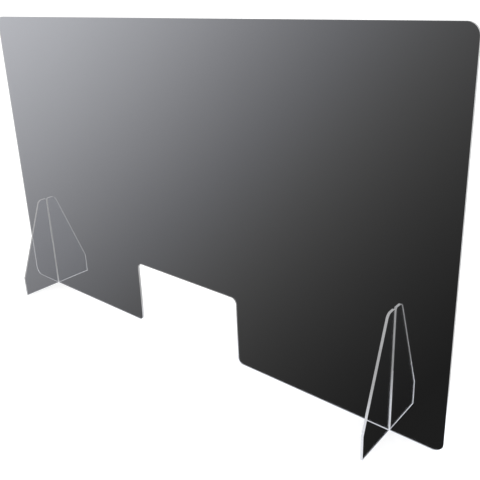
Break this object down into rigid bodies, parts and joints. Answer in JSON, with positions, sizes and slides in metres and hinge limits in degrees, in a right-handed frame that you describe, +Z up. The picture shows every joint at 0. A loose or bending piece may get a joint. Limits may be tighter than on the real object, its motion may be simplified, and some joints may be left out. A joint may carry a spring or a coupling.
{
  "type": "desk privacy panel",
  "caption": "Free-standing upright acrylic sheet with rounded corners and a pass-through opening at the bottom, held by slotted plate feet.",
  "frame": {"origin": "on the table surface under the middle of the upright sheet", "axes": "+Z up, +X along the sheet's width, -Y to the visitor's side, with the feet running along Y"},
  "size_m": [1.22, 0.194, 0.705],
  "materials": {
    "panel_acrylic": "see-through acrylic with a light grey tint, smoke-grey against a dark room, with polished faces and bright cut edges",
    "foot_acrylic": "see-through acrylic with a light grey tint, smoke-grey against a dark room, with polished faces and bright cut edges"
  },
  "bodies": {
    "panel": {"shield_panel": "panel_acrylic"},
    "left_foot": {"left_foot": "foot_acrylic"},
    "right_foot": {"right_foot": "foot_acrylic"}
  },
  "joints": [
    {"name": "panel_lift", "type": "slide", "parent": "left_foot", "child": "panel", "axis": [0, 0, 1], "range_m": [0, 0.26]},
    {"name": "right_foot_stay", "type": "slide", "parent": "panel", "child": "right_foot", "axis": [0, 0, -1], "range_m": [0, 0.26]}
  ],
  "couplings": [
    {"joint": "right_foot_stay", "follows": "panel_lift", "ratio": 1}
  ]
}
